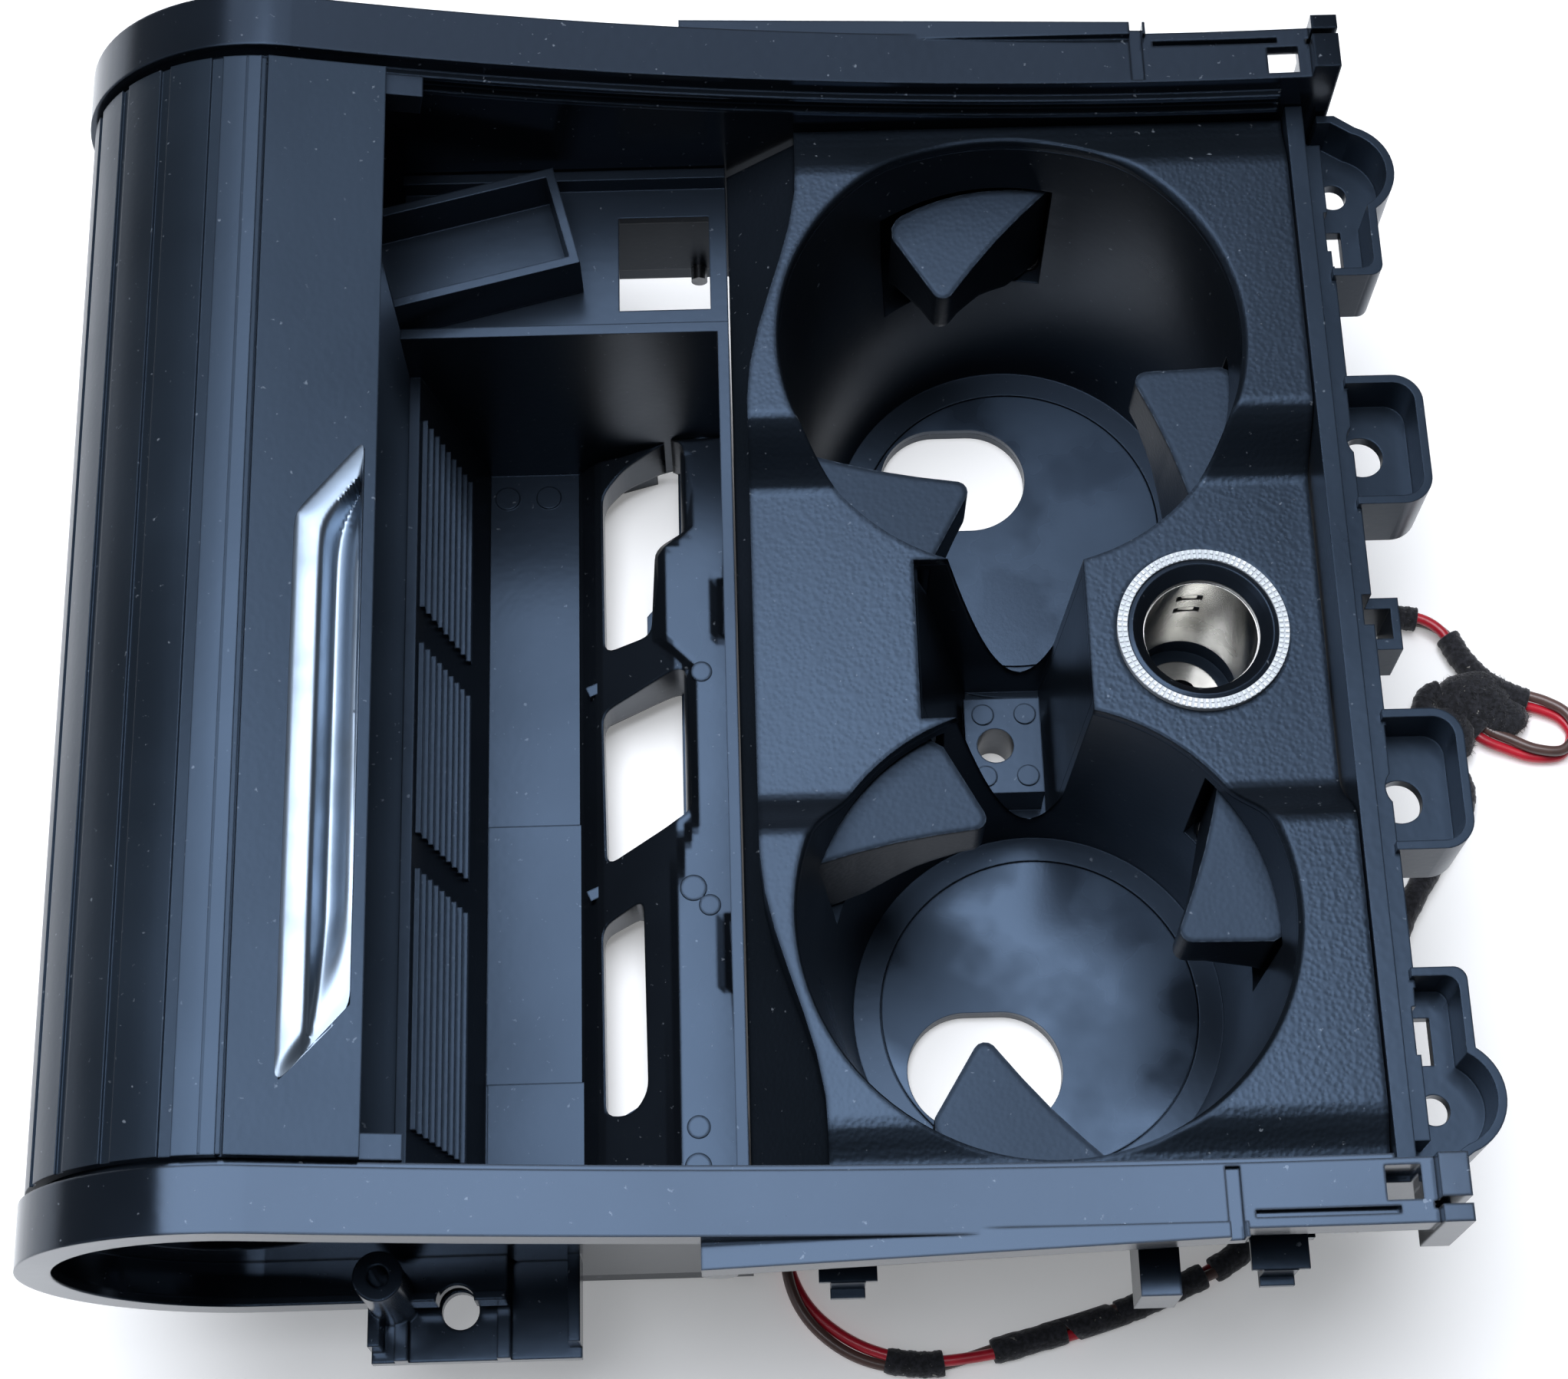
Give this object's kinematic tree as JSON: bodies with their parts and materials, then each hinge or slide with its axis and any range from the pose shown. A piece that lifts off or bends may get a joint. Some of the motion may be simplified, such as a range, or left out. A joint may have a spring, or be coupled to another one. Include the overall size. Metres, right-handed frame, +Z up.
{
  "type": "car cup holder",
  "caption": "Console module with tapered cup wells, sprung grip fingers, a power socket in a shallow valley, a storage tray and a roller door on curved side rails.",
  "frame": {"origin": "midway between the two outer ear holes, on the ears' upper face", "axes": "+X from the door's nose towards the rear ears, +Y across the module away from the wiring side, +Z up out of the cups"},
  "size_m": [0.2998, 0.25, 0.115],
  "materials": {
    "grained_panel": "fine leather grain, low sheen",
    "black_satin_plastic": "moulded, satin",
    "gloss_rail": "smooth, semi-gloss, scuffed",
    "finger_plastic": "satin, worn edges",
    "mat_rubber": "smooth rubber, slight sheen",
    "satin_silver": "satin silver coat",
    "socket_metal": "plated, dulled",
    "clear_ring": "pale fluted plastic",
    "steel": "plain wire and screws",
    "wire_sleeve": "cloth tape round a red and a brown wire"
  },
  "bodies": {
    "housing": {"cup_panel": "grained_panel", "cup_well_far": "black_satin_plastic", "cup_well_near": "black_satin_plastic", "neck_channel": "black_satin_plastic", "cup_mat_far": "mat_rubber", "cup_mat_near": "mat_rubber", "rear_carrier": "black_satin_plastic", "far_side_frame": "gloss_rail", "near_side_frame": "gloss_rail", "storage_tray": "black_satin_plastic", "corner_pocket": "black_satin_plastic", "roller_curtain": "gloss_rail", "curtain_web": "black_satin_plastic", "finger_pin_far_1": "steel", "finger_pin_far_2": "steel", "finger_pin_far_3": "steel", "finger_pin_near_1": "steel", "finger_pin_near_2": "steel", "finger_pin_near_3": "steel", "finger_spring_far_1": "steel", "finger_spring_far_2": "steel", "finger_spring_far_3": "steel", "finger_spring_near_1": "steel", "finger_spring_near_2": "steel", "finger_spring_near_3": "steel", "socket_body": "black_satin_plastic", "socket_shell": "socket_metal", "socket_contact": "socket_metal", "socket_side_spring": "socket_metal", "socket_collar": "black_satin_plastic", "socket_light_ring": "clear_ring", "socket_plug": "black_satin_plastic", "harness_cable": "wire_sleeve", "harness_connector": "black_satin_plastic", "side_screws": "steel", "side_clips": "black_satin_plastic"},
    "door": {"door_panel": "gloss_rail", "door_handle": "satin_silver", "door_shoe_far": "black_satin_plastic", "door_shoe_near": "black_satin_plastic"},
    "grip_far_1": {"finger_far_1": "finger_plastic"},
    "grip_far_2": {"finger_far_2": "finger_plastic"},
    "grip_far_3": {"finger_far_3": "finger_plastic"},
    "grip_near_1": {"finger_near_1": "finger_plastic"},
    "grip_near_2": {"finger_near_2": "finger_plastic"},
    "grip_near_3": {"finger_near_3": "finger_plastic"}
  },
  "joints": [
    {"name": "door_travel", "type": "hinge", "parent": "housing", "child": "door", "pos_m": [-0.0338, 0, 0.7525], "axis": [0, -1, 0], "range_deg": [0, 12.6], "deforming": ["curtain_web"]},
    {"name": "grip_far_1_swing", "type": "hinge", "parent": "housing", "child": "grip_far_1", "pos_m": [-0.02918, 0.02715, -0.02], "axis": [0, 0, -1], "range_deg": [0, 15], "stiffness_Nm_per_rad": 0.03, "springref_deg": -28.65},
    {"name": "grip_far_2_swing", "type": "hinge", "parent": "housing", "child": "grip_far_2", "pos_m": [-0.05724, 0.10024, -0.02], "axis": [0, 0, -1], "range_deg": [0, 15], "stiffness_Nm_per_rad": 0.03, "springref_deg": -28.65},
    {"name": "grip_far_3_swing", "type": "hinge", "parent": "housing", "child": "grip_far_3", "pos_m": [-0.10651, 0.0394, -0.02], "axis": [0, 0, -1], "range_deg": [0, 15], "stiffness_Nm_per_rad": 0.03, "springref_deg": -28.65},
    {"name": "grip_near_1_swing", "type": "hinge", "parent": "housing", "child": "grip_near_1", "pos_m": [-0.02918, -0.02715, -0.02], "axis": [0, 0, 1], "range_deg": [0, 15], "stiffness_Nm_per_rad": 0.03, "springref_deg": -28.65},
    {"name": "grip_near_2_swing", "type": "hinge", "parent": "housing", "child": "grip_near_2", "pos_m": [-0.05724, -0.10024, -0.02], "axis": [0, 0, 1], "range_deg": [0, 15], "stiffness_Nm_per_rad": 0.03, "springref_deg": -28.65},
    {"name": "grip_near_3_swing", "type": "hinge", "parent": "housing", "child": "grip_near_3", "pos_m": [-0.10651, -0.0394, -0.02], "axis": [0, 0, 1], "range_deg": [0, 15], "stiffness_Nm_per_rad": 0.03, "springref_deg": -28.65}
  ]
}
